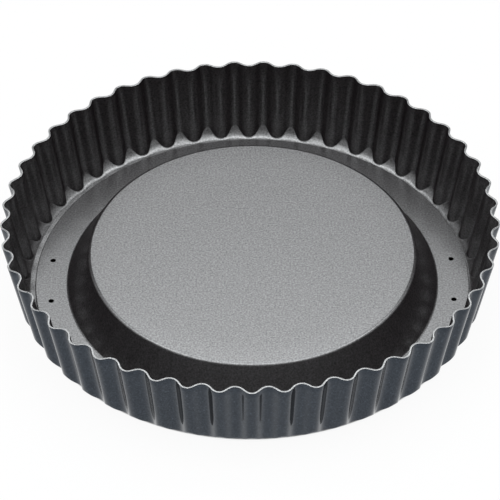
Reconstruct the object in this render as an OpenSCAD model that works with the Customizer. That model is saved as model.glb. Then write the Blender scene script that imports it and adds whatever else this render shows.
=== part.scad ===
// Fluted tart pan with a loose, raised base.
// Two pressed steel sheets: a fluted ring, and a base that lies on the ring's ledge and lifts out.
// The origin is the centre of the circle that the pan stands on. +Z is up.

/* [Ring] */
// Diameter over the outward flutes at the rim
rim_d = 281.4; // [240:0.1:320]
// Height of the pan, from what it stands on to the rim of the inward flutes
pan_h = 48.9; // [30:0.1:70]
// How much lower the rim is on the outward flutes
rim_dip = 0.6; // [0:0.1:2]
// Diameter over the inward flutes where the wall's lines meet the floor
foot_d = 254.4; // [215:0.1:256]
// Number of flutes round the wall
flutes = 49; // [36:1:56]
// Depth of a flute at the rim
rim_flute_depth = 4.3; // [2:0.1:8]
// Depth of a flute where the wall's lines meet the floor
foot_flute_depth = 3.8; // [1:0.1:6]
// Thickness of the ring's sheet
ring_t = 1; // [0.6:0.1:1.5]

/* [Foot and ledge] */
// Distance from the inward flutes' foot to the flat of the ledge
foot_inset = 1.7; // [1.5:0.1:5]
// Slope at which the foot leaves the ledge, in degrees from level
foot_slope = 18; // [5:1:30]
// Slope that the foot has reached under an outward flute
foot_end_slope = 52; // [40:1:60]
// How far before the wall the foot starts to turn into it
foot_blend = 1; // [0.5:0.1:1.2]
// Width of the flat ledge that carries the base
ledge_w = 7.3; // [4:0.1:12]

/* [Loose base] */
// Thickness of the base's sheet
base_t = 1; // [0.6:0.1:1.5]
// Gap between the edge of the base and the curve of the foot
base_gap = 1.5; // [0.3:0.1:2]
// Share of that gap by which the loose base lies off centre, towards +X
base_play = 0.8; // [0:0.05:0.8]
// Width of the flat outer ring of the base
flat_w = 18.5; // [14:0.1:22]
// Height of the raised disc above the flat outer ring
disc_rise = 22.1; // [10:0.1:26]
// Slope of the wall that carries the raised disc, in degrees from level
disc_slope = 60.5; // [45:0.5:75]
// Inside radius of the bend at the edge of the disc
disc_bend_r = 1.5; // [1:0.1:5]
// Inside radius of the bend at the foot of the disc's wall
step_bend_r = 1.5; // [1:0.1:5]

/* [Holes in the base] */
// Diameter of each small hole in the flat outer ring
hole_d = 3; // [2:0.1:4]
// Distance from the edge of the base to the middle of each hole
hole_inset = 8.2; // [7:0.1:11]
// Angle of each hole above and below the pan's X axis
hole_angle = 8.5; // [3:0.5:30]

/* [Hidden] */

coat = [0.2, 0.2, 0.21];
over = 1;                       // how far a cutter runs past what it cuts

// Fluted ring
rim_r = rim_d / 2;
foot_r = foot_d / 2;
seat_r = foot_r - foot_inset;   // outer limit of the flat ledge
ledge_r = seat_r - ledge_w;     // opening that the ledge surrounds
foot_room = 0.75;               // share of the steepest bowl that a leaning wall can still meet
foot_reach = foot_inset + foot_flute_depth;  // from the flat ledge to the foot of an outward flute
wall_lean = (rim_r - foot_r - foot_flute_depth) / (pan_h - rim_dip);  // of an outward flute
foot_bow = min(
    (tan(foot_end_slope) - tan(foot_slope)) / (2 * foot_reach),
    // A wall that leans far out has a shallower foot, which still meets it.
    foot_room * pow(1 - tan(foot_slope) * wall_lean, 2) / (4 * wall_lean * foot_reach)
);
flute_columns = 8;              // columns of points along one flute
foot_rows = 2;                  // steps up the foot
turn_rows = 3;                  // steps round the turn from the foot to the wall
wall_row = foot_rows + turn_rows;
rim_row = wall_row + 1;
columns = flutes * flute_columns;
first_crest = -90;              // an outward flute points along -Y
slope_step = 0.01;              // step for the slopes of the wall, in degrees and in rows

// Loose base
flat_end_r = seat_r - ring_t * tan(foot_slope / 2);  // where the ledge's upper face stops being flat
base_r = flat_end_r - base_gap;
base_shift = base_play * base_gap;
base_z = ring_t;                // its underside lies on the ledge
base_top = base_z + base_t;
disc_top = base_top + disc_rise;
step_r = base_r - flat_w;                       // corner at the foot of the disc's wall
disc_r = step_r - disc_rise / tan(disc_slope);  // corner at the edge of the disc
hole_r = base_r - hole_inset;                   // circle that the holes lie on
bend_steps = 8;

// 1 on an outward flute, 0 on an inward one, and a cosine between them.
function wave(angle) = (1 + cos(flutes * (angle - first_crest))) / 2;

// The outer face's straight lines: their radius at the floor, their rim and how far they lean outwards.
function foot_line(angle) = foot_r + foot_flute_depth * wave(angle);
function rim_line(angle) = rim_r - rim_flute_depth * (1 - wave(angle));
function rim_z(angle) = pan_h - rim_dip * wave(angle);
function lean(angle) = (rim_line(angle) - foot_line(angle)) / rim_z(angle);

// Height of the foot at a distance out from the flat ledge. It is a shallow bowl, the same all round.
function foot_z(out) = tan(foot_slope) * out + foot_bow * out * out;

// How far out from the flat ledge the bowl of the foot meets the wall's straight line.
function corner_out(angle) =
    let (
        l = lean(angle),
        slant = 1 - tan(foot_slope) * l,
        reach = foot_line(angle) - seat_r
    )
    (slant - sqrt(slant * slant - 4 * foot_bow * l * reach)) / (2 * foot_bow * l);

// Point of the outer face as [distance out from the flat ledge, height]. The rows run up the foot, then
// round the turn into the wall, which is a parabola. The last row is the rim.
function rise(angle, row) =
    let (
        out = corner_out(angle),
        corner = [out, foot_z(out)],
        start = [out - foot_blend, foot_z(out - foot_blend)],
        end = corner + foot_blend * [lean(angle), 1],
        x = start[0] * row / foot_rows,
        t = (row - foot_rows) / turn_rows
    )
    row > wall_row ? [rim_line(angle) - seat_r, rim_z(angle)]
        : row > foot_rows ? (1 - t) * (1 - t) * start + 2 * t * (1 - t) * corner + t * t * end
        : [x, foot_z(x)];

function around(angle, rz) = [rz[0] * cos(angle), rz[0] * sin(angle), rz[1]];
function outer_point(angle, row) = around(angle, [seat_r, 0] + rise(angle, row));

// Unit normal of the outer face, pointing out of the sheet.
function face_normal(angle, row) =
    let (
        along = outer_point(angle + slope_step, row) - outer_point(angle - slope_step, row),
        up = row > wall_row
            ? outer_point(angle, row) - outer_point(angle, wall_row)
            : outer_point(angle, row + slope_step / 2) - outer_point(angle, row - slope_step / 2),
        n = cross(along, up)
    )
    n / norm(n);

// The inner face lies one sheet thickness behind the outer one. At the rim the step is level, so that
// the cut edge is, and row 0 is the corner where the flat ledge ends.
function inner_point(angle, row) =
    let (n = face_normal(angle, row), level = [n[0], n[1], 0])
    row == 0 ? around(angle, [flat_end_r, ring_t])
        : row > wall_row ? outer_point(angle, row) - ring_t * level / (level * level)
        : outer_point(angle, row) - ring_t * n;

// The fluted sheet with its bottom still closed: rows of points up the outer face and back down the inner.
module closed_fluted_sheet() {
    angles = [for (i = [0:columns - 1]) first_crest + 360 * i / columns];
    outer_rows = [for (row = [0:rim_row]) for (a = angles) outer_point(a, row)];
    inner_rows = [for (row = [rim_row:-1:0]) for (a = angles) inner_point(a, row)];
    points = concat(outer_rows, inner_rows);
    rows = len(points) / columns;
    strips = [
        for (row = [0:rows - 2])
            for (i = [0:columns - 1])
                let (
                    j = (i + 1) % columns,
                    a = row * columns + i,
                    b = row * columns + j,
                    c = a + columns,
                    d = b + columns
                )
                each [[a, c, b], [b, c, d]]
    ];
    underside = [for (i = [0:columns - 1]) i];
    topside = [for (i = [columns - 1:-1:0]) (rows - 1) * columns + i];
    polyhedron(points = points, faces = concat(strips, [underside, topside]), convexity = 10);
}

module fluted_ring() {
    color(coat)
        difference() {
            closed_fluted_sheet();
            translate([0, 0, -over])
                cylinder(h = ring_t + 2 * over, r = ledge_r, $fn = 180);
        }
}

// Points on an arc about centre, from one angle to another.
function arc(centre, r, from, to) = [
    for (i = [0:bend_steps])
        let (a = from + (to - from) * i / bend_steps)
        centre + r * [cos(a), sin(a)]
];

// Section of the bent sheet, from its outer edge to the pan's axis and back along the underside.
module base_section() {
    corner = tan(disc_slope / 2);
    disc_out_r = disc_bend_r + base_t;
    step_out_r = step_bend_r + base_t;
    step_centre = [step_r + step_bend_r * corner, base_top + step_bend_r];
    disc_centre = [disc_r - disc_out_r * corner, disc_top - disc_out_r];
    polygon(concat(
        [[base_r, base_top]],
        arc(step_centre, step_bend_r, -90, -90 - disc_slope),
        arc(disc_centre, disc_out_r, 90 - disc_slope, 90),
        [[0, disc_top], [0, disc_top - base_t]],
        arc(disc_centre, disc_bend_r, 90, 90 - disc_slope),
        arc(step_centre, step_out_r, -90 - disc_slope, -90),
        [[base_r, base_z]]
    ));
}

module base_hole(angle) {
    rotate([0, 0, angle])
        translate([hole_r, 0, base_z - over])
            cylinder(h = base_t + 2 * over, d = hole_d, $fn = 32);
}

module loose_base() {
    color(coat)
        translate([base_shift, 0, 0])
            difference() {
                rotate_extrude($fn = 180)
                    base_section();
                for (side = [0, 180], angle = [-hole_angle, hole_angle])
                    base_hole(side + angle);
            }
}

fluted_ring();
loose_base();
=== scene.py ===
"""Fluted tart pan with a loose, raised base: its two coated sheets, studio and camera."""

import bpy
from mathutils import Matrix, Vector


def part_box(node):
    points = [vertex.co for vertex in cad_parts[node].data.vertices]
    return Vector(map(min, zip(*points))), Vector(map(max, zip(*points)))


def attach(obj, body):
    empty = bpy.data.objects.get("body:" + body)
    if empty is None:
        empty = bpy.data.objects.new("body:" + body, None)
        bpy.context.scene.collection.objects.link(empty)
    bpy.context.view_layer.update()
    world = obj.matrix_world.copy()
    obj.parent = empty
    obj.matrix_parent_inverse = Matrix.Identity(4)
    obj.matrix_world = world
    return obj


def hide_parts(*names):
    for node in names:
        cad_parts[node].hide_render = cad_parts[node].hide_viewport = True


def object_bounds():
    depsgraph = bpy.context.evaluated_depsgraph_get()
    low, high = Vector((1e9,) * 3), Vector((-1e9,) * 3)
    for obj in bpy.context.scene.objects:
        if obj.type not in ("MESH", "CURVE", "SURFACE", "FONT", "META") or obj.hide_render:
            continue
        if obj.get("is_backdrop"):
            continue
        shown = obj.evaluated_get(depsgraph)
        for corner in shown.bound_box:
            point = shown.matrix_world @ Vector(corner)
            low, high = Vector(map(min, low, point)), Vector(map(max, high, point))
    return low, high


bl_info = {
    "name": "Fluted Tart Pan",
    "version": (1, 0, 0),
    "blender": (4, 5, 0),
    "location": "View3D > Sidebar > Tart Pan",
    "description": "A loose-based fluted tart pan in dark non-stick coated steel",
    "category": "Add Mesh",
}

from math import cos, pi, radians, sin, tan

import bmesh
import bpy
import numpy as np
from bpy.props import (
    FloatProperty,
    FloatVectorProperty,
    IntProperty,
    PointerProperty,
)
from mathutils import Matrix, Vector

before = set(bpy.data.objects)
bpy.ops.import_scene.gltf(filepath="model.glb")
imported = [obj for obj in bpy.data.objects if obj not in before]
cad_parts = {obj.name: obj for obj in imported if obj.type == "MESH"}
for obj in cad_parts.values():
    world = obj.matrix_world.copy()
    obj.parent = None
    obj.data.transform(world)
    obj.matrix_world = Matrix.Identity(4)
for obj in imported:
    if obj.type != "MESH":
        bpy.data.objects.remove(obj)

CAD_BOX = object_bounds()
RING_LOW, RING_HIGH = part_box("fluted_ring")
BASE_LOW, BASE_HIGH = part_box("loose_base")
MM = 0.001
WHITE = (1, 1, 1, 1)


# ---------------------------------------------------------------- sizes and colours


class PanRingSizes(bpy.types.PropertyGroup):
    """Sizes of the fluted ring."""

    rim_radius: FloatProperty(
        name="Rim radius",
        description="Radius over the outward flutes at the rim",
        default=-RING_LOW.y,
        unit="LENGTH",
    )
    height: FloatProperty(
        name="Height",
        description="Height of the rim above what the pan stands on",
        default=RING_HIGH.z,
        unit="LENGTH",
    )
    sheet: FloatProperty(
        name="Sheet",
        description="Thickness of the ring's steel sheet",
        default=BASE_LOW.z - RING_LOW.z,
        unit="LENGTH",
    )
    flutes: IntProperty(
        name="Flutes",
        description="Number of flutes round the wall",
        default=49,
    )
    rim_depth: FloatProperty(
        name="Flute depth at the rim",
        description="Depth of a flute at the rim",
        default=4.3 * MM,
        unit="LENGTH",
    )
    rim_dip: FloatProperty(
        name="Rim dip",
        description="How much lower the rim is on the outward flutes",
        default=0.6 * MM,
        unit="LENGTH",
    )
    foot_depth: FloatProperty(
        name="Flute depth at the foot",
        description="Depth of a flute where the wall's lines meet the floor",
        default=3.8 * MM,
        unit="LENGTH",
    )
    flank: FloatProperty(
        name="Flank",
        description="How much steeper than a plain wave the flutes' flanks are",
        default=0.05,
    )
    foot_inset: FloatProperty(
        name="Foot inset",
        description="Distance from the inward flutes' foot to the flat ledge",
        default=1.7 * MM,
        unit="LENGTH",
    )
    foot_slope: FloatProperty(
        name="Foot slope",
        description="Slope at which the foot rises from the ledge",
        default=radians(18),
        subtype="ANGLE",
    )
    foot_end_slope: FloatProperty(
        name="Foot end slope",
        description="Slope of the foot where it meets an outward flute",
        default=radians(52),
        subtype="ANGLE",
    )
    foot_blend: FloatProperty(
        name="Foot blend",
        description="How far before the wall the foot starts to turn into it",
        default=1.0 * MM,
        unit="LENGTH",
    )
    ledge_width: FloatProperty(
        name="Ledge width",
        description="Width of the flat ledge that carries the base",
        default=7.3 * MM,
        unit="LENGTH",
    )


class PanBaseSizes(bpy.types.PropertyGroup):
    """Sizes of the loose base."""

    radius: FloatProperty(
        name="Base radius",
        description="Outer radius of the loose base",
        default=(BASE_HIGH.x - BASE_LOW.x) / 2,
        unit="LENGTH",
    )
    shift: FloatProperty(
        name="Base shift",
        description="How far the loose base lies off centre, towards +X",
        default=(BASE_HIGH.x + BASE_LOW.x) / 2,
        unit="LENGTH",
    )
    gap: FloatProperty(
        name="Edge gap",
        description="Gap between the edge of the base and the curve of the foot",
        default=1.5 * MM,
        unit="LENGTH",
    )
    sheet: FloatProperty(
        name="Sheet",
        description="Thickness of the base's steel sheet",
        default=1.0 * MM,
        unit="LENGTH",
    )
    flat_width: FloatProperty(
        name="Flat width",
        description="Width of the flat outer ring of the base",
        default=18.5 * MM,
        unit="LENGTH",
    )
    slope: FloatProperty(
        name="Wall slope",
        description="Slope of the raised disc's wall",
        default=radians(60.5),
        subtype="ANGLE",
    )
    disc_bend: FloatProperty(
        name="Disc bend",
        description="Inside radius of the bend at the edge of the disc",
        default=1.5 * MM,
        unit="LENGTH",
    )
    step_bend: FloatProperty(
        name="Foot bend",
        description="Inside radius of the bend at the foot of the disc's wall",
        default=1.5 * MM,
        unit="LENGTH",
    )
    hole_radius: FloatProperty(
        name="Hole radius",
        description="Radius of the small holes in the flat outer ring",
        default=1.5 * MM,
        unit="LENGTH",
    )
    hole_inset: FloatProperty(
        name="Hole inset",
        description="Distance from the edge of the base to a hole's middle",
        default=8.2 * MM,
        unit="LENGTH",
    )
    hole_angle: FloatProperty(
        name="Hole angle",
        description="Angle of each hole to either side of the pan's X axis",
        default=radians(8.5),
        subtype="ANGLE",
    )


class PanFinish(bpy.types.PropertyGroup):
    """Colours and texture of the coat, and the rounding of the cut edges."""

    edge_round: FloatProperty(
        name="Edge rounding",
        description="Radius that rounds the cut edges of the ring and of the small holes",
        default=0.12 * MM,
        unit="LENGTH",
    )
    base_round: FloatProperty(
        name="Base edge rounding",
        description="Radius that rounds the edge of the base",
        default=0.5 * MM,
        unit="LENGTH",
    )
    inner_colour: FloatVectorProperty(
        name="Inner coat",
        description="Colour of the coat inside the pan",
        default=(0.0030, 0.0004, 0.0015),
        subtype="COLOR",
        size=3,
    )
    outer_colour: FloatVectorProperty(
        name="Outer coat",
        description="Colour of the coat on the outside of the ring",
        default=(0.040, 0.0475, 0.058),
        subtype="COLOR",
        size=3,
    )
    edge_colour: FloatVectorProperty(
        name="Cut edge",
        description="Colour of the thinly coated cut edge of the rim",
        default=(0.42, 0.42, 0.42),
        subtype="COLOR",
        size=3,
    )
    flake: FloatProperty(
        name="Flake size",
        description="Size of the mica flakes in the coat",
        default=1.0 * MM,
        unit="LENGTH",
    )


class PanStudio(bpy.types.PropertyGroup):
    """Floor, lamps and camera."""

    floor_colour: FloatVectorProperty(
        name="Floor",
        description="Colour of the floor",
        default=(0.93, 0.93, 0.93),
        subtype="COLOR",
        size=3,
    )
    floor_glow: FloatProperty(
        name="Floor glow",
        description="Share of plain white in how the floor looks to the eye and in reflections",
        default=0.94,
    )
    lamp_power: FloatProperty(
        name="Lamp power",
        description="How far all the softboxes are turned up or down",
        default=1.0,
    )
    top_watts: FloatProperty(
        name="Top softbox",
        description="Power of the softbox overhead",
        default=8.0,
        unit="POWER",
    )
    high_watts: FloatProperty(
        name="High softboxes",
        description="Power of each softbox in the high ring round the pan",
        default=5.2,
        unit="POWER",
    )
    middle_watts: FloatProperty(
        name="Middle softboxes",
        description="Power of each further softbox on the line from back to front",
        default=2.5,
        unit="POWER",
    )
    low_watts: FloatProperty(
        name="Low softboxes",
        description="Power of each softbox in the low ring round the pan",
        default=1.5,
        unit="POWER",
    )
    side_watts: FloatProperty(
        name="Side softboxes",
        description="Power of each faint softbox that fills in the sides",
        default=1.0,
        unit="POWER",
    )
    lamp_size: FloatProperty(
        name="Lamp size",
        description="Length of a softbox's sides",
        default=0.9,
        unit="LENGTH",
    )
    lamp_distance: FloatProperty(
        name="Lamp distance",
        description="Distance from the pan to every softbox",
        default=2.2,
        unit="LENGTH",
    )
    lamp_colour: FloatVectorProperty(
        name="Lamp colour",
        description="Colour of the softboxes, a little on the cool side of white",
        default=(0.975, 1.0, 1.015),
        subtype="COLOR",
        size=3,
    )
    sky_strength: FloatProperty(
        name="Sky strength",
        description="Strength of the dim glow all round",
        default=0.05,
    )
    camera_pitch: FloatProperty(
        name="Camera pitch",
        description="How far the camera looks down",
        default=radians(42.07),
        subtype="ANGLE",
    )
    camera_turn: FloatProperty(
        name="Camera turn",
        description="How far the camera stands round the pan's axis",
        default=radians(-0.35),
        subtype="ANGLE",
    )
    camera_lens: FloatProperty(
        name="Lens",
        description="Focal length in millimetres",
        default=263.4,
    )
    camera_back: FloatProperty(
        name="Camera distance",
        description="How far in front of the pan's axis the camera stands",
        default=1.5401,
        unit="LENGTH",
    )
    camera_height: FloatProperty(
        name="Camera height",
        description="How high the camera stands above the flat outer ring of the base",
        default=1.41295,
        unit="LENGTH",
    )
    camera_side: FloatProperty(
        name="Camera side step",
        description="How far the camera stands towards +X",
        default=-0.15 * MM,
        unit="LENGTH",
    )


# ---------------------------------------------------------------- mesh helpers


def arc_points(centre, radius, start, end, steps):
    """Points (r, z) on an arc, from one angle to another."""
    angles = np.linspace(start, end, steps + 1)
    return [(centre[0] + radius * cos(a), centre[1] + radius * sin(a)) for a in angles]


def around(angles, section_point):
    """One row of points round the axis from a section point (r, z)."""
    r, z = section_point
    return np.stack([r * np.cos(angles), r * np.sin(angles), z + 0 * angles], axis=1)


def mesh_from_rows(name, rows, finishes, close_section):
    """A mesh of quads between neighbouring rows of points, each row closed round the axis.

    finishes holds the material index of the strip above each row.
    """
    columns = len(rows[0])
    points = np.concatenate(rows)
    i = np.arange(columns)
    j = (i + 1) % columns
    faces = []
    indices = []
    strips = len(rows) if close_section else len(rows) - 1
    for strip in range(strips):
        low = strip * columns
        high = (strip + 1) % len(rows) * columns
        faces.append(np.stack([low + i, low + j, high + j, high + i], axis=1))
        indices += [finishes[strip]] * columns
    faces = np.concatenate(faces)
    mesh = bpy.data.meshes.new(name)
    mesh.from_pydata(points.tolist(), [], faces.tolist())
    mesh.polygons.foreach_set("material_index", indices)
    mesh.polygons.foreach_set("use_smooth", [True] * len(faces))
    mesh.update()
    mesh.validate()
    return mesh


def add_object(name, mesh, materials):
    """A new object in the scene with these materials."""
    for material in materials:
        mesh.materials.append(material)
    piece = bpy.data.objects.new(name, mesh)
    bpy.context.scene.collection.objects.link(piece)
    return piece


# ---------------------------------------------------------------- fluted ring


# Rows up the ring's faces. Rows from 0 run up the bowl of the foot, then turn into the wall and
# run up the straight wall to the rim.
BOWL_END, WALL_START, RIM = 1, 2, 3


class RingShape:
    """The ring's two faces as functions of the angle and of a row up the wall."""

    def __init__(self, sizes):
        self.s = sizes
        base = bpy.context.scene.pan_base
        self.seat = base.radius + base.gap + sizes.sheet * tan(sizes.foot_slope / 2)
        self.foot = self.seat + sizes.foot_inset
        self.ledge = self.seat - sizes.ledge_width
        self.first_crest = -pi / 2
        self.rise = tan(sizes.foot_slope)
        reach = sizes.foot_inset + sizes.foot_depth
        self.bow = (tan(sizes.foot_end_slope) - self.rise) / (2 * reach)

    def outer(self, angles, row):
        """Points of the outer face."""
        s = self.s
        phase = s.flutes * (angles - self.first_crest)
        wave = (1 + (np.cos(phase) - s.flank * np.cos(3 * phase)) / (1 - s.flank)) / 2
        foot = self.foot + s.foot_depth * wave
        rim = s.rim_radius - s.rim_depth * (1 - wave)
        top = s.height - s.rim_dip * wave
        lean = (rim - foot) / top

        slant = 1 - self.rise * lean
        root = np.sqrt(slant**2 - 4 * self.bow * lean * (foot - self.seat))
        corner = (slant - root) / (2 * self.bow * lean)
        start = corner - s.foot_blend
        corner_z = self.bowl(corner)
        end_z = corner_z + s.foot_blend
        if row <= BOWL_END:
            x = start * row
            z = self.bowl(x)
        elif row <= WALL_START:
            t = row - BOWL_END
            end = corner + lean * s.foot_blend
            x = (1 - t) ** 2 * start + 2 * t * (1 - t) * corner + t**2 * end
            z = (1 - t) ** 2 * self.bowl(start) + 2 * t * (1 - t) * corner_z + t**2 * end_z
        else:
            z = end_z + (top - end_z) * (row - WALL_START)
            x = foot - self.seat + lean * z
        r = self.seat + x
        return np.stack([r * np.cos(angles), r * np.sin(angles), z], axis=1)

    def bowl(self, x):
        """Height of the foot's bowl at a distance out from the ledge."""
        return self.rise * x + self.bow * x * x

    def normals(self, angles, row):
        """Unit normals of the outer face, pointing out of the sheet."""
        step = 1e-4
        just_above = 1e-9
        along = self.outer(angles + step, row) - self.outer(angles - step, row)
        low = max(row - step, 0)
        high = min(row + step, RIM)
        if row >= WALL_START:
            low = max(low, WALL_START + just_above)
        up = self.outer(angles, high) - self.outer(angles, low)
        return unit(np.cross(along, up))

    def inner(self, angles, row):
        """Points of the inner face, one sheet thickness behind the outer face."""
        n = self.normals(angles, row)
        return self.outer(angles, row) - self.s.sheet * n

    def rim_inner(self, angles):
        """Points of the inner face at the rim, level with the outer face's."""
        level = self.normals(angles, RIM)
        level[:, 2] = 0
        length = (level * level).sum(axis=1, keepdims=True)
        return self.outer(angles, RIM) - self.s.sheet * level / length


def rounded_corner(corner, back, ahead, radius, steps):
    """Rows that round a corner, from the way back to the way ahead."""
    centre = corner + radius * (back + ahead)
    turns = np.linspace(0, pi / 2, steps + 1)
    return [centre - radius * (cos(t) * ahead + sin(t) * back) for t in turns]


def unit(v):
    """The same directions, each of length 1."""
    return v / np.linalg.norm(v, axis=1, keepdims=True)


# Places of the ring's materials in its list.
INNER, OUTER, EDGE = 0, 1, 2


def ring_mesh(sizes, edge_round):
    """The whole ring as one closed sheet, from the ledge's opening round to it again."""
    shape = RingShape(sizes)
    columns_per_flute = 24
    bowl_steps = 5
    turn_steps = 8
    wall_steps = 8
    corner_steps = 3
    near_rim = 2.9
    columns = sizes.flutes * columns_per_flute
    angles = shape.first_crest + np.arange(columns) * 2 * pi / columns
    bowl_rows = np.linspace(0, BOWL_END, bowl_steps + 1)[1:]
    turn_rows = np.linspace(BOWL_END, WALL_START, turn_steps + 1)[1:]
    foot_rows = np.concatenate([bowl_rows, turn_rows])
    wall_rows = np.linspace(WALL_START, RIM, wall_steps + 1)[1:-1]

    rows = []
    finishes = []

    def add(new_rows, finish):
        rows.extend(new_rows)
        finishes.extend([finish] * len(new_rows))

    down = np.array([[0, 0, -1.0]])
    outward = around(angles, (1, 0))

    under = around(angles, (shape.ledge, 0))
    over = around(angles, (shape.ledge, sizes.sheet))
    add(rounded_corner(under, -down, outward, edge_round, corner_steps)[:-1], EDGE)
    add([under + edge_round * outward], OUTER)
    add([around(angles, (shape.seat, 0))], OUTER)
    add([shape.outer(angles, row) for row in foot_rows], OUTER)
    add([shape.outer(angles, row) for row in wall_rows], OUTER)

    rim_out = shape.outer(angles, RIM)
    rim_in = shape.rim_inner(angles)
    across = unit(rim_in - rim_out)
    back_out = unit(shape.outer(angles, near_rim) - rim_out)
    back_in = unit(shape.inner(angles, near_rim) - rim_in)
    add(rounded_corner(rim_out, back_out, across, edge_round, corner_steps), EDGE)
    rim_in_rows = rounded_corner(rim_in, -across, back_in, edge_round, corner_steps)
    add(rim_in_rows[:-1], EDGE)
    add(rim_in_rows[-1:], INNER)

    add([shape.inner(angles, row) for row in wall_rows[::-1]], INNER)
    add([shape.inner(angles, row) for row in foot_rows[:0:-1]], INNER)
    flat_end = shape.seat - sizes.sheet * tan(sizes.foot_slope / 2)
    add([around(angles, (flat_end, sizes.sheet))], INNER)
    add(rounded_corner(over, outward, down, edge_round, corner_steps), EDGE)
    return mesh_from_rows("fluted_ring_coated", rows, finishes, True)


class PAN_OT_fluted_ring(bpy.types.Operator):
    """Add the fluted ring, a pressed sheet with a wavy wall and an inward ledge"""

    bl_idname = "tart_pan.fluted_ring"
    bl_label = "Fluted Ring"

    def execute(self, context):
        scene = context.scene
        mesh = ring_mesh(scene.pan_ring, scene.pan_finish.edge_round)
        materials = [inner_coat(), outer_coat(), cut_edge()]
        piece = add_object("ring_sheet", mesh, materials)
        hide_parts("fluted_ring")
        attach(piece, "ring")
        return {"FINISHED"}


# ---------------------------------------------------------------- loose base


def base_section(sizes, rounding):
    """The base's section (r, z), from the top centre out to the edge and back underneath."""
    low = BASE_LOW.z
    flat = low + sizes.sheet
    top = BASE_HIGH.z
    step_r = sizes.radius - sizes.flat_width
    disc_r = step_r - (top - flat) / tan(sizes.slope)
    corner = tan(sizes.slope / 2)
    disc_out = sizes.disc_bend + sizes.sheet
    step_out = sizes.step_bend + sizes.sheet
    step_centre = (step_r + sizes.step_bend * corner, flat + sizes.step_bend)
    disc_centre = (disc_r - disc_out * corner, top - disc_out)
    upright = pi / 2 - sizes.slope
    foot = -pi / 2 - sizes.slope
    edge = sizes.radius - rounding
    bend_steps = 12
    edge_steps = 3
    disc_rings = 6
    disc_rs = [ring * disc_centre[0] / disc_rings for ring in range(1, disc_rings)]

    upper = [(r, top) for r in disc_rs]
    upper += arc_points(disc_centre, disc_out, pi / 2, upright, bend_steps)
    upper += arc_points(step_centre, sizes.step_bend, foot, -pi / 2, bend_steps)
    upper += arc_points((edge, flat - rounding), rounding, pi / 2, 0, edge_steps)
    lower = arc_points((edge, low + rounding), rounding, 0, -pi / 2, edge_steps)
    lower += arc_points(step_centre, step_out, -pi / 2, foot, bend_steps)
    lower += arc_points(disc_centre, sizes.disc_bend, upright, pi / 2, bend_steps)
    lower += [(r, top - sizes.sheet) for r in reversed(disc_rs)]
    return upper + lower


def close_centre(mesh, columns):
    """Fills the small middle holes of the disc's two faces."""
    points = len(mesh.vertices)
    bm = bmesh.new()
    bm.from_mesh(mesh)
    bm.verts.ensure_lookup_table()
    first = [bm.verts[i] for i in range(columns)]
    last = [bm.verts[points - columns + i] for i in range(columns)]
    for loop in (first[::-1], last):
        middle = bm.verts.new((0, 0, loop[0].co.z))
        for i in range(columns):
            face = bm.faces.new((middle, loop[i], loop[(i + 1) % columns]))
            face.smooth = True
    bmesh.ops.recalc_face_normals(bm, faces=bm.faces)
    bm.to_mesh(mesh)
    bm.free()


def hole_cutter(sizes, edge_round, angle):
    """A cutter whose ends flare, so that the hole it leaves has rounded edges."""
    low = BASE_LOW.z
    flat = low + sizes.sheet
    past = 1 * MM
    round_steps = 4
    columns = 48
    flare = sizes.hole_radius + edge_round
    section = [(flare, low - past)]
    section += arc_points((flare, low + edge_round), edge_round, -pi / 2, -pi, round_steps)
    section += arc_points((flare, flat - edge_round), edge_round, pi, pi / 2, round_steps)
    section += [(flare, flat + past)]
    angles = np.arange(columns) * 2 * pi / columns
    distance = sizes.radius - sizes.hole_inset
    place = np.array([distance * cos(angle), distance * sin(angle), 0])
    rows = [around(angles, p) + place for p in section]
    mesh = mesh_from_rows("hole_cutter", rows, [INNER] * len(rows), False)
    cap_ends(mesh, columns)
    return add_object("hole_cutter", mesh, [inner_coat()])


def cap_ends(mesh, columns):
    """Closes the two open ends of a tube."""
    bm = bmesh.new()
    bm.from_mesh(mesh)
    bm.verts.ensure_lookup_table()
    count = len(bm.verts)
    bm.faces.new([bm.verts[i] for i in range(columns)][::-1])
    bm.faces.new([bm.verts[count - columns + i] for i in range(columns)])
    bmesh.ops.recalc_face_normals(bm, faces=bm.faces)
    bm.to_mesh(mesh)
    bm.free()


class PAN_OT_loose_base(bpy.types.Operator):
    """Add the loose base, a pressed sheet with a raised disc and four small holes"""

    bl_idname = "tart_pan.loose_base"
    bl_label = "Loose Base"

    def execute(self, context):
        scene = context.scene
        sizes = scene.pan_base
        edge_round = scene.pan_finish.edge_round
        columns = 512
        angles = np.arange(columns) * 2 * pi / columns
        section = base_section(sizes, scene.pan_finish.base_round)
        rows = [around(angles, p) for p in section]
        finishes = [INNER] * len(rows)
        mesh = mesh_from_rows("loose_base_coated", rows, finishes, False)
        close_centre(mesh, columns)
        piece = add_object("base_sheet", mesh, [inner_coat()])
        cutters = []
        for side in (0, pi):
            for angle in (-sizes.hole_angle, sizes.hole_angle):
                cutters.append(hole_cutter(sizes, edge_round, side + angle))
        for cutter in cutters:
            cut = piece.modifiers.new("hole", "BOOLEAN")
            cut.object = cutter
            cut.operation = "DIFFERENCE"
            cut.solver = "EXACT"
        apply_modifiers(piece)
        for cutter in cutters:
            bpy.data.objects.remove(cutter)
        piece.data.transform(Matrix.Translation((sizes.shift, 0, 0)))
        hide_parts("loose_base")
        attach(piece, "base")
        return {"FINISHED"}


def apply_modifiers(piece):
    """Leaves the modifiers' result in the piece's own mesh, with the holes' edges sharp."""
    sharp_from = radians(10)
    graph = bpy.context.evaluated_depsgraph_get()
    result = bpy.data.meshes.new_from_object(piece.evaluated_get(graph))
    piece.modifiers.clear()
    piece.data = result
    result.set_sharp_from_angle(angle=sharp_from)


# ---------------------------------------------------------------- finishes

NOISE_RANGE = (0.3, 0.7)  # where nearly all of a noise texture's values lie


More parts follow.
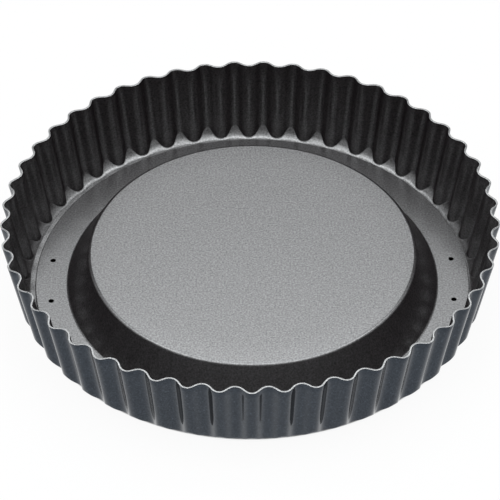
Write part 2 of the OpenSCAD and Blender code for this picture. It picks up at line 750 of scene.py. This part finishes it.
def node(tree, kind, **inputs):
    """A new node with some of its inputs set."""
    new = tree.nodes.new(kind)
    for key, value in inputs.items():
        new.inputs[key.replace("_", " ")].default_value = value
    return new


def math_node(tree, operation, first, second):
    """A math node on two outputs or numbers; returns its output."""
    new = tree.nodes.new("ShaderNodeMath")
    new.operation = operation
    for socket, value in zip(new.inputs, (first, second)):
        if isinstance(value, (int, float)):
            socket.default_value = value
        else:
            tree.links.new(value, socket)
    return new.outputs["Value"]


def spread(tree, value, low, high, to_low, to_high):
    """Maps a value from low..high to to_low..to_high; returns the output."""
    limits = {"From_Min": low, "From_Max": high, "To_Min": to_low, "To_Max": to_high}
    new = node(tree, "ShaderNodeMapRange", **limits)
    tree.links.new(value, new.inputs["Value"])
    return new.outputs["Result"]


def noise(tree, place, scale, detail):
    """Smooth noise; returns the output."""
    new = node(tree, "ShaderNodeTexNoise", Scale=scale, Detail=detail, Roughness=0.55)
    tree.links.new(place, new.inputs["Vector"])
    return new.outputs["Fac"]


def coat_material(name, colour, metallic, roughness, grain, peel, specular=0.5, top_coat=None):
    """A baked non-stick coat: pigment and mica flakes under a slightly uneven surface.

    grain is the strength of the flakes' light and dark speckle, and peel that of the fine
    unevenness. top_coat holds the roughness and the IOR of a glossier top coat, if there is one.
    """
    known = bpy.data.materials.get(name)
    if known:
        return known
    flake = bpy.context.scene.pan_finish.flake
    cloud_size = 62.5 * MM
    cloud_tone = 0.05
    cloud_roughness = 0.03
    glint_share = 0.1
    bump_height = 0.05 * MM
    material = bpy.data.materials.new(name)
    material.use_nodes = True
    tree = material.node_tree
    shader = tree.nodes["Principled BSDF"]
    shader.inputs["Metallic"].default_value = metallic
    shader.inputs["IOR"].default_value = 1.5
    shader.inputs["Specular IOR Level"].default_value = specular
    place = tree.nodes.new("ShaderNodeTexCoord").outputs["Object"]

    fine = noise(tree, place, 1 / flake, 3.0)
    cells = node(tree, "ShaderNodeTexVoronoi", Scale=1.6 / flake)
    tree.links.new(place, cells.inputs["Vector"])
    split = tree.nodes.new("ShaderNodeSeparateColor")
    tree.links.new(cells.outputs["Color"], split.inputs["Color"])
    cloud = noise(tree, place, 1 / cloud_size, 3.0)

    speckle = spread(tree, fine, *NOISE_RANGE, 1 - grain, 1 + grain)
    flash = split.outputs["Red"]
    glint = spread(tree, flash, 1 - glint_share, 1.0, 1.0, 1.0 + 2 * grain)
    tone = math_node(tree, "MULTIPLY", speckle, glint)
    slow = spread(tree, cloud, *NOISE_RANGE, 1 - cloud_tone, 1 + cloud_tone)
    tone = math_node(tree, "MULTIPLY", tone, slow)
    tint = tree.nodes.new("ShaderNodeVectorMath")
    tint.operation = "SCALE"
    tint.inputs[0].default_value = colour
    tree.links.new(tone, tint.inputs["Scale"])
    tree.links.new(tint.outputs["Vector"], shader.inputs["Base Color"])

    low_rough = roughness - cloud_roughness
    high_rough = roughness + cloud_roughness
    rough = spread(tree, cloud, *NOISE_RANGE, low_rough, high_rough)
    tree.links.new(rough, shader.inputs["Roughness"])
    if top_coat:
        sheen = spread(tree, fine, *NOISE_RANGE, 1 - grain, 1.0)
        tree.links.new(sheen, shader.inputs["Coat Weight"])
        shader.inputs["Coat Roughness"].default_value = top_coat["roughness"]
        shader.inputs["Coat IOR"].default_value = top_coat["ior"]

    uneven = noise(tree, place, 0.8 / flake, 2.0)
    bump = node(tree, "ShaderNodeBump", Strength=peel, Distance=bump_height)
    tree.links.new(uneven, bump.inputs["Height"])
    tree.links.new(bump.outputs["Normal"], shader.inputs["Normal"])
    tree.links.new(bump.outputs["Normal"], shader.inputs["Coat Normal"])
    return material


def inner_coat():
    """The coat inside the pan and all over the base: nearly black, under a glossier top coat."""
    return coat_material(
        "inner_coat",
        bpy.context.scene.pan_finish.inner_colour,
        metallic=0.0,
        roughness=0.5,
        grain=0.52,
        peel=0.9,
        specular=0.0,
        top_coat={"roughness": 0.28, "ior": 3.25},
    )


def outer_coat():
    """The coat on the outside of the ring: smooth, metallic and a little blue."""
    return coat_material(
        "outer_coat",
        bpy.context.scene.pan_finish.outer_colour,
        metallic=1.0,
        roughness=0.10,
        grain=0.3,
        peel=0.15,
    )


def cut_edge():
    """The pale cut edge of the ring's sheet, where the coat is thin."""
    return coat_material(
        "cut_edge",
        bpy.context.scene.pan_finish.edge_colour,
        metallic=0.9,
        roughness=0.4,
        grain=0.15,
        peel=0.3,
    )


# ---------------------------------------------------------------- studio


def floor_material(colour, glow, foot):
    """A matt white floor that also shows as white, by the share glow, to the eye and in reflections.

    Within the radius foot its colour is darkened, a painted shade, where something lies close above
    it, as under the base.
    """
    fade = 1 * MM
    close_above = 12 * MM
    dark_up_to, open_from = 0.5, 0.9
    material = bpy.data.materials.new("floor")
    material.use_nodes = True
    tree = material.node_tree
    shader = tree.nodes["Principled BSDF"]
    shader.inputs["Roughness"].default_value = 0.9
    shader.inputs["Specular IOR Level"].default_value = 0.0
    distance = tree.nodes.new("ShaderNodeVectorMath")
    distance.operation = "LENGTH"
    place = tree.nodes.new("ShaderNodeTexCoord").outputs["Object"]
    tree.links.new(place, distance.inputs[0])
    outside = spread(tree, distance.outputs["Value"], foot - fade, foot, 0.0, 1.0)
    # Painted shade: where ambient occlusion finds something close above, the floor's colour is
    # darkened and its white glow is taken away, so the floor shows dark under the pan.
    above = node(tree, "ShaderNodeAmbientOcclusion", Distance=close_above)
    free_of_painted_shade = spread(tree, above.outputs["AO"], dark_up_to, open_from, 0.0, 1.0)
    free_of_painted_shade = math_node(tree, "MAXIMUM", free_of_painted_shade, outside)
    tint = tree.nodes.new("ShaderNodeVectorMath")
    tint.operation = "SCALE"
    tint.inputs[0].default_value = colour
    tree.links.new(free_of_painted_shade, tint.inputs["Scale"])
    tree.links.new(tint.outputs["Vector"], shader.inputs["Base Color"])
    clear = math_node(tree, "MULTIPLY", free_of_painted_shade, glow)
    path = tree.nodes.new("ShaderNodeLightPath")
    seen = math_node(tree, "MAXIMUM", path.outputs["Is Camera Ray"], path.outputs["Is Glossy Ray"])
    seen = math_node(tree, "MAXIMUM", seen, path.outputs["Is Transmission Ray"])
    share = math_node(tree, "MULTIPLY", seen, clear)
    white = node(tree, "ShaderNodeEmission", Color=WHITE, Strength=1.0)
    mix = tree.nodes.new("ShaderNodeMixShader")
    tree.links.new(share, mix.inputs["Fac"])
    tree.links.new(shader.outputs["BSDF"], mix.inputs[1])
    tree.links.new(white.outputs["Emission"], mix.inputs[2])
    tree.links.new(mix.outputs["Shader"], tree.nodes["Material Output"].inputs["Surface"])
    return material


def lit_world(strength):
    """A dim glow that fades to dark overhead, and plain white to the camera.

    The heights are those of a direction of length 1.
    """
    glow_up_to, dark_from = 0.6, 0.7
    world = bpy.data.worlds.new("studio")
    bpy.context.scene.world = world
    world.use_nodes = True
    tree = world.node_tree
    ray = tree.nodes.new("ShaderNodeTexCoord").outputs["Generated"]
    height = tree.nodes.new("ShaderNodeSeparateXYZ")
    tree.links.new(ray, height.inputs["Vector"])
    glow = spread(tree, height.outputs["Z"], glow_up_to, dark_from, strength, 0.0)
    seen = tree.nodes.new("ShaderNodeLightPath").outputs["Is Camera Ray"]
    background = tree.nodes["Background"]
    background.inputs["Color"].default_value = WHITE
    tree.links.new(math_node(tree, "MAXIMUM", glow, seen), background.inputs["Strength"])


def softbox(name, azimuth, elevation, group, studio):
    """A square lamp that faces the pan from a direction in degrees."""
    data = bpy.data.lights.new("lamp_" + name, "AREA")
    data.shape = "SQUARE"
    data.size = studio.lamp_size
    data.energy = getattr(studio, group + "_watts") * studio.lamp_power
    data.color = studio.lamp_colour
    lamp = bpy.data.objects.new("lamp_" + name, data)
    bpy.context.scene.collection.objects.link(lamp)
    up = radians(elevation)
    turn = radians(azimuth)
    direction = Vector((cos(up) * cos(turn), cos(up) * sin(turn), sin(up)))
    place = direction * studio.lamp_distance
    lamp.location = place
    lamp.rotation_euler = (-place).to_track_quat("-Z", "Y").to_euler()
    lamp.visible_camera = False


# Name, azimuth and elevation in degrees, and the group that sets the power. Azimuth 90 is behind
# the pan.
MIDDLE_SOFTBOXES = (
    ("back_low", 90, 40, "middle"),
    ("back_high", 90, 56, "high"),
    ("back_top", 90, 68, "middle"),
    ("top", 90, 89.9, "top"),
    ("front_top", 270, 78, "middle"),
    ("front", 270, 50, "low"),
)

# The same, for softboxes that stand in pairs, one on each side of the pan.
PAIRED_SOFTBOXES = (
    ("side_low", 0, 30, "low"),
    ("side", 0, 48, "side"),
    ("side_top", 0, 65, "high"),
    ("back_side_low", 30, 25, "side"),
    ("back_side", 30, 42, "side"),
    ("back_side_high", 30, 58, "high"),
    ("front_side", -15, 50, "side"),
    ("front_corner_high", -45, 60, "high"),
    ("front_corner_low", -45, 30, "low"),
)

# The floor's side, and how far it lies below the pan, so that the two don't share a plane.
FLOOR_SIDE = 8.0
FLOOR_DROP = 0.05 * MM


class PAN_OT_studio(bpy.types.Operator):
    """Add the floor, the softboxes round and above the pan, and the camera"""

    bl_idname = "tart_pan.studio"
    bl_label = "Studio"

    def execute(self, context):
        studio = context.scene.pan_studio
        bpy.ops.mesh.primitive_plane_add(size=FLOOR_SIDE, location=(0, 0, -FLOOR_DROP))
        floor = context.object
        floor.name = "floor"
        foot = RingShape(context.scene.pan_ring).foot
        white = floor_material(studio.floor_colour, studio.floor_glow, foot)
        floor.data.materials.append(white)
        floor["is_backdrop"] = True
        lit_world(studio.sky_strength)
        for name, azimuth, elevation, group in MIDDLE_SOFTBOXES:
            softbox(name, azimuth, elevation, group, studio)
        for name, azimuth, elevation, group in PAIRED_SOFTBOXES:
            softbox(name + "_right", azimuth, elevation, group, studio)
            softbox(name + "_left", 180 - azimuth, elevation, group, studio)
        add_camera(studio)
        context.scene.view_settings.view_transform = "Standard"
        return {"FINISHED"}


def add_camera(studio):
    """A long lens that looks down on the pan from its front."""
    sensor_width = 36.0
    farthest = 20.0
    data = bpy.data.cameras.new("camera")
    data.lens = studio.camera_lens
    data.sensor_width = sensor_width
    data.clip_end = farthest
    camera = bpy.data.objects.new("camera", data)
    bpy.context.scene.collection.objects.link(camera)
    flat_top = BASE_LOW.z + bpy.context.scene.pan_base.sheet
    turn = studio.camera_turn
    camera.location = (
        studio.camera_back * sin(turn) + studio.camera_side,
        -studio.camera_back * cos(turn),
        studio.camera_height + flat_top,
    )
    camera.rotation_euler = (pi / 2 - studio.camera_pitch, 0, turn)
    bpy.context.scene.camera = camera


# ---------------------------------------------------------------- add-on


class PAN_PT_panel(bpy.types.Panel):
    """Lists the pan's pieces and its studio"""

    bl_label = "Tart Pan"
    bl_idname = "PAN_PT_panel"
    bl_space_type = "VIEW_3D"
    bl_region_type = "UI"
    bl_category = "Tart Pan"

    def draw(self, context):
        for operator in OPERATORS:
            self.layout.operator(operator.bl_idname)


OPERATORS = (PAN_OT_fluted_ring, PAN_OT_loose_base, PAN_OT_studio)
GROUPS = {
    "pan_ring": PanRingSizes,
    "pan_base": PanBaseSizes,
    "pan_finish": PanFinish,
    "pan_studio": PanStudio,
}


def register():
    for name, group in GROUPS.items():
        bpy.utils.register_class(group)
        setattr(bpy.types.Scene, name, PointerProperty(type=group))
    for operator in OPERATORS:
        bpy.utils.register_class(operator)
    bpy.utils.register_class(PAN_PT_panel)


def unregister():
    bpy.utils.unregister_class(PAN_PT_panel)
    for operator in reversed(OPERATORS):
        bpy.utils.unregister_class(operator)
    for name, group in reversed(GROUPS.items()):
        delattr(bpy.types.Scene, name)
        bpy.utils.unregister_class(group)


def main():
    register()
    bpy.ops.tart_pan.fluted_ring()
    bpy.ops.tart_pan.loose_base()
    bpy.ops.tart_pan.studio()
    boxes = {"cad": CAD_BOX, "visual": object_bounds()}
    boxes = {name: [list(corner) for corner in box] for name, box in boxes.items()}


if __name__ == "__main__":
    main()
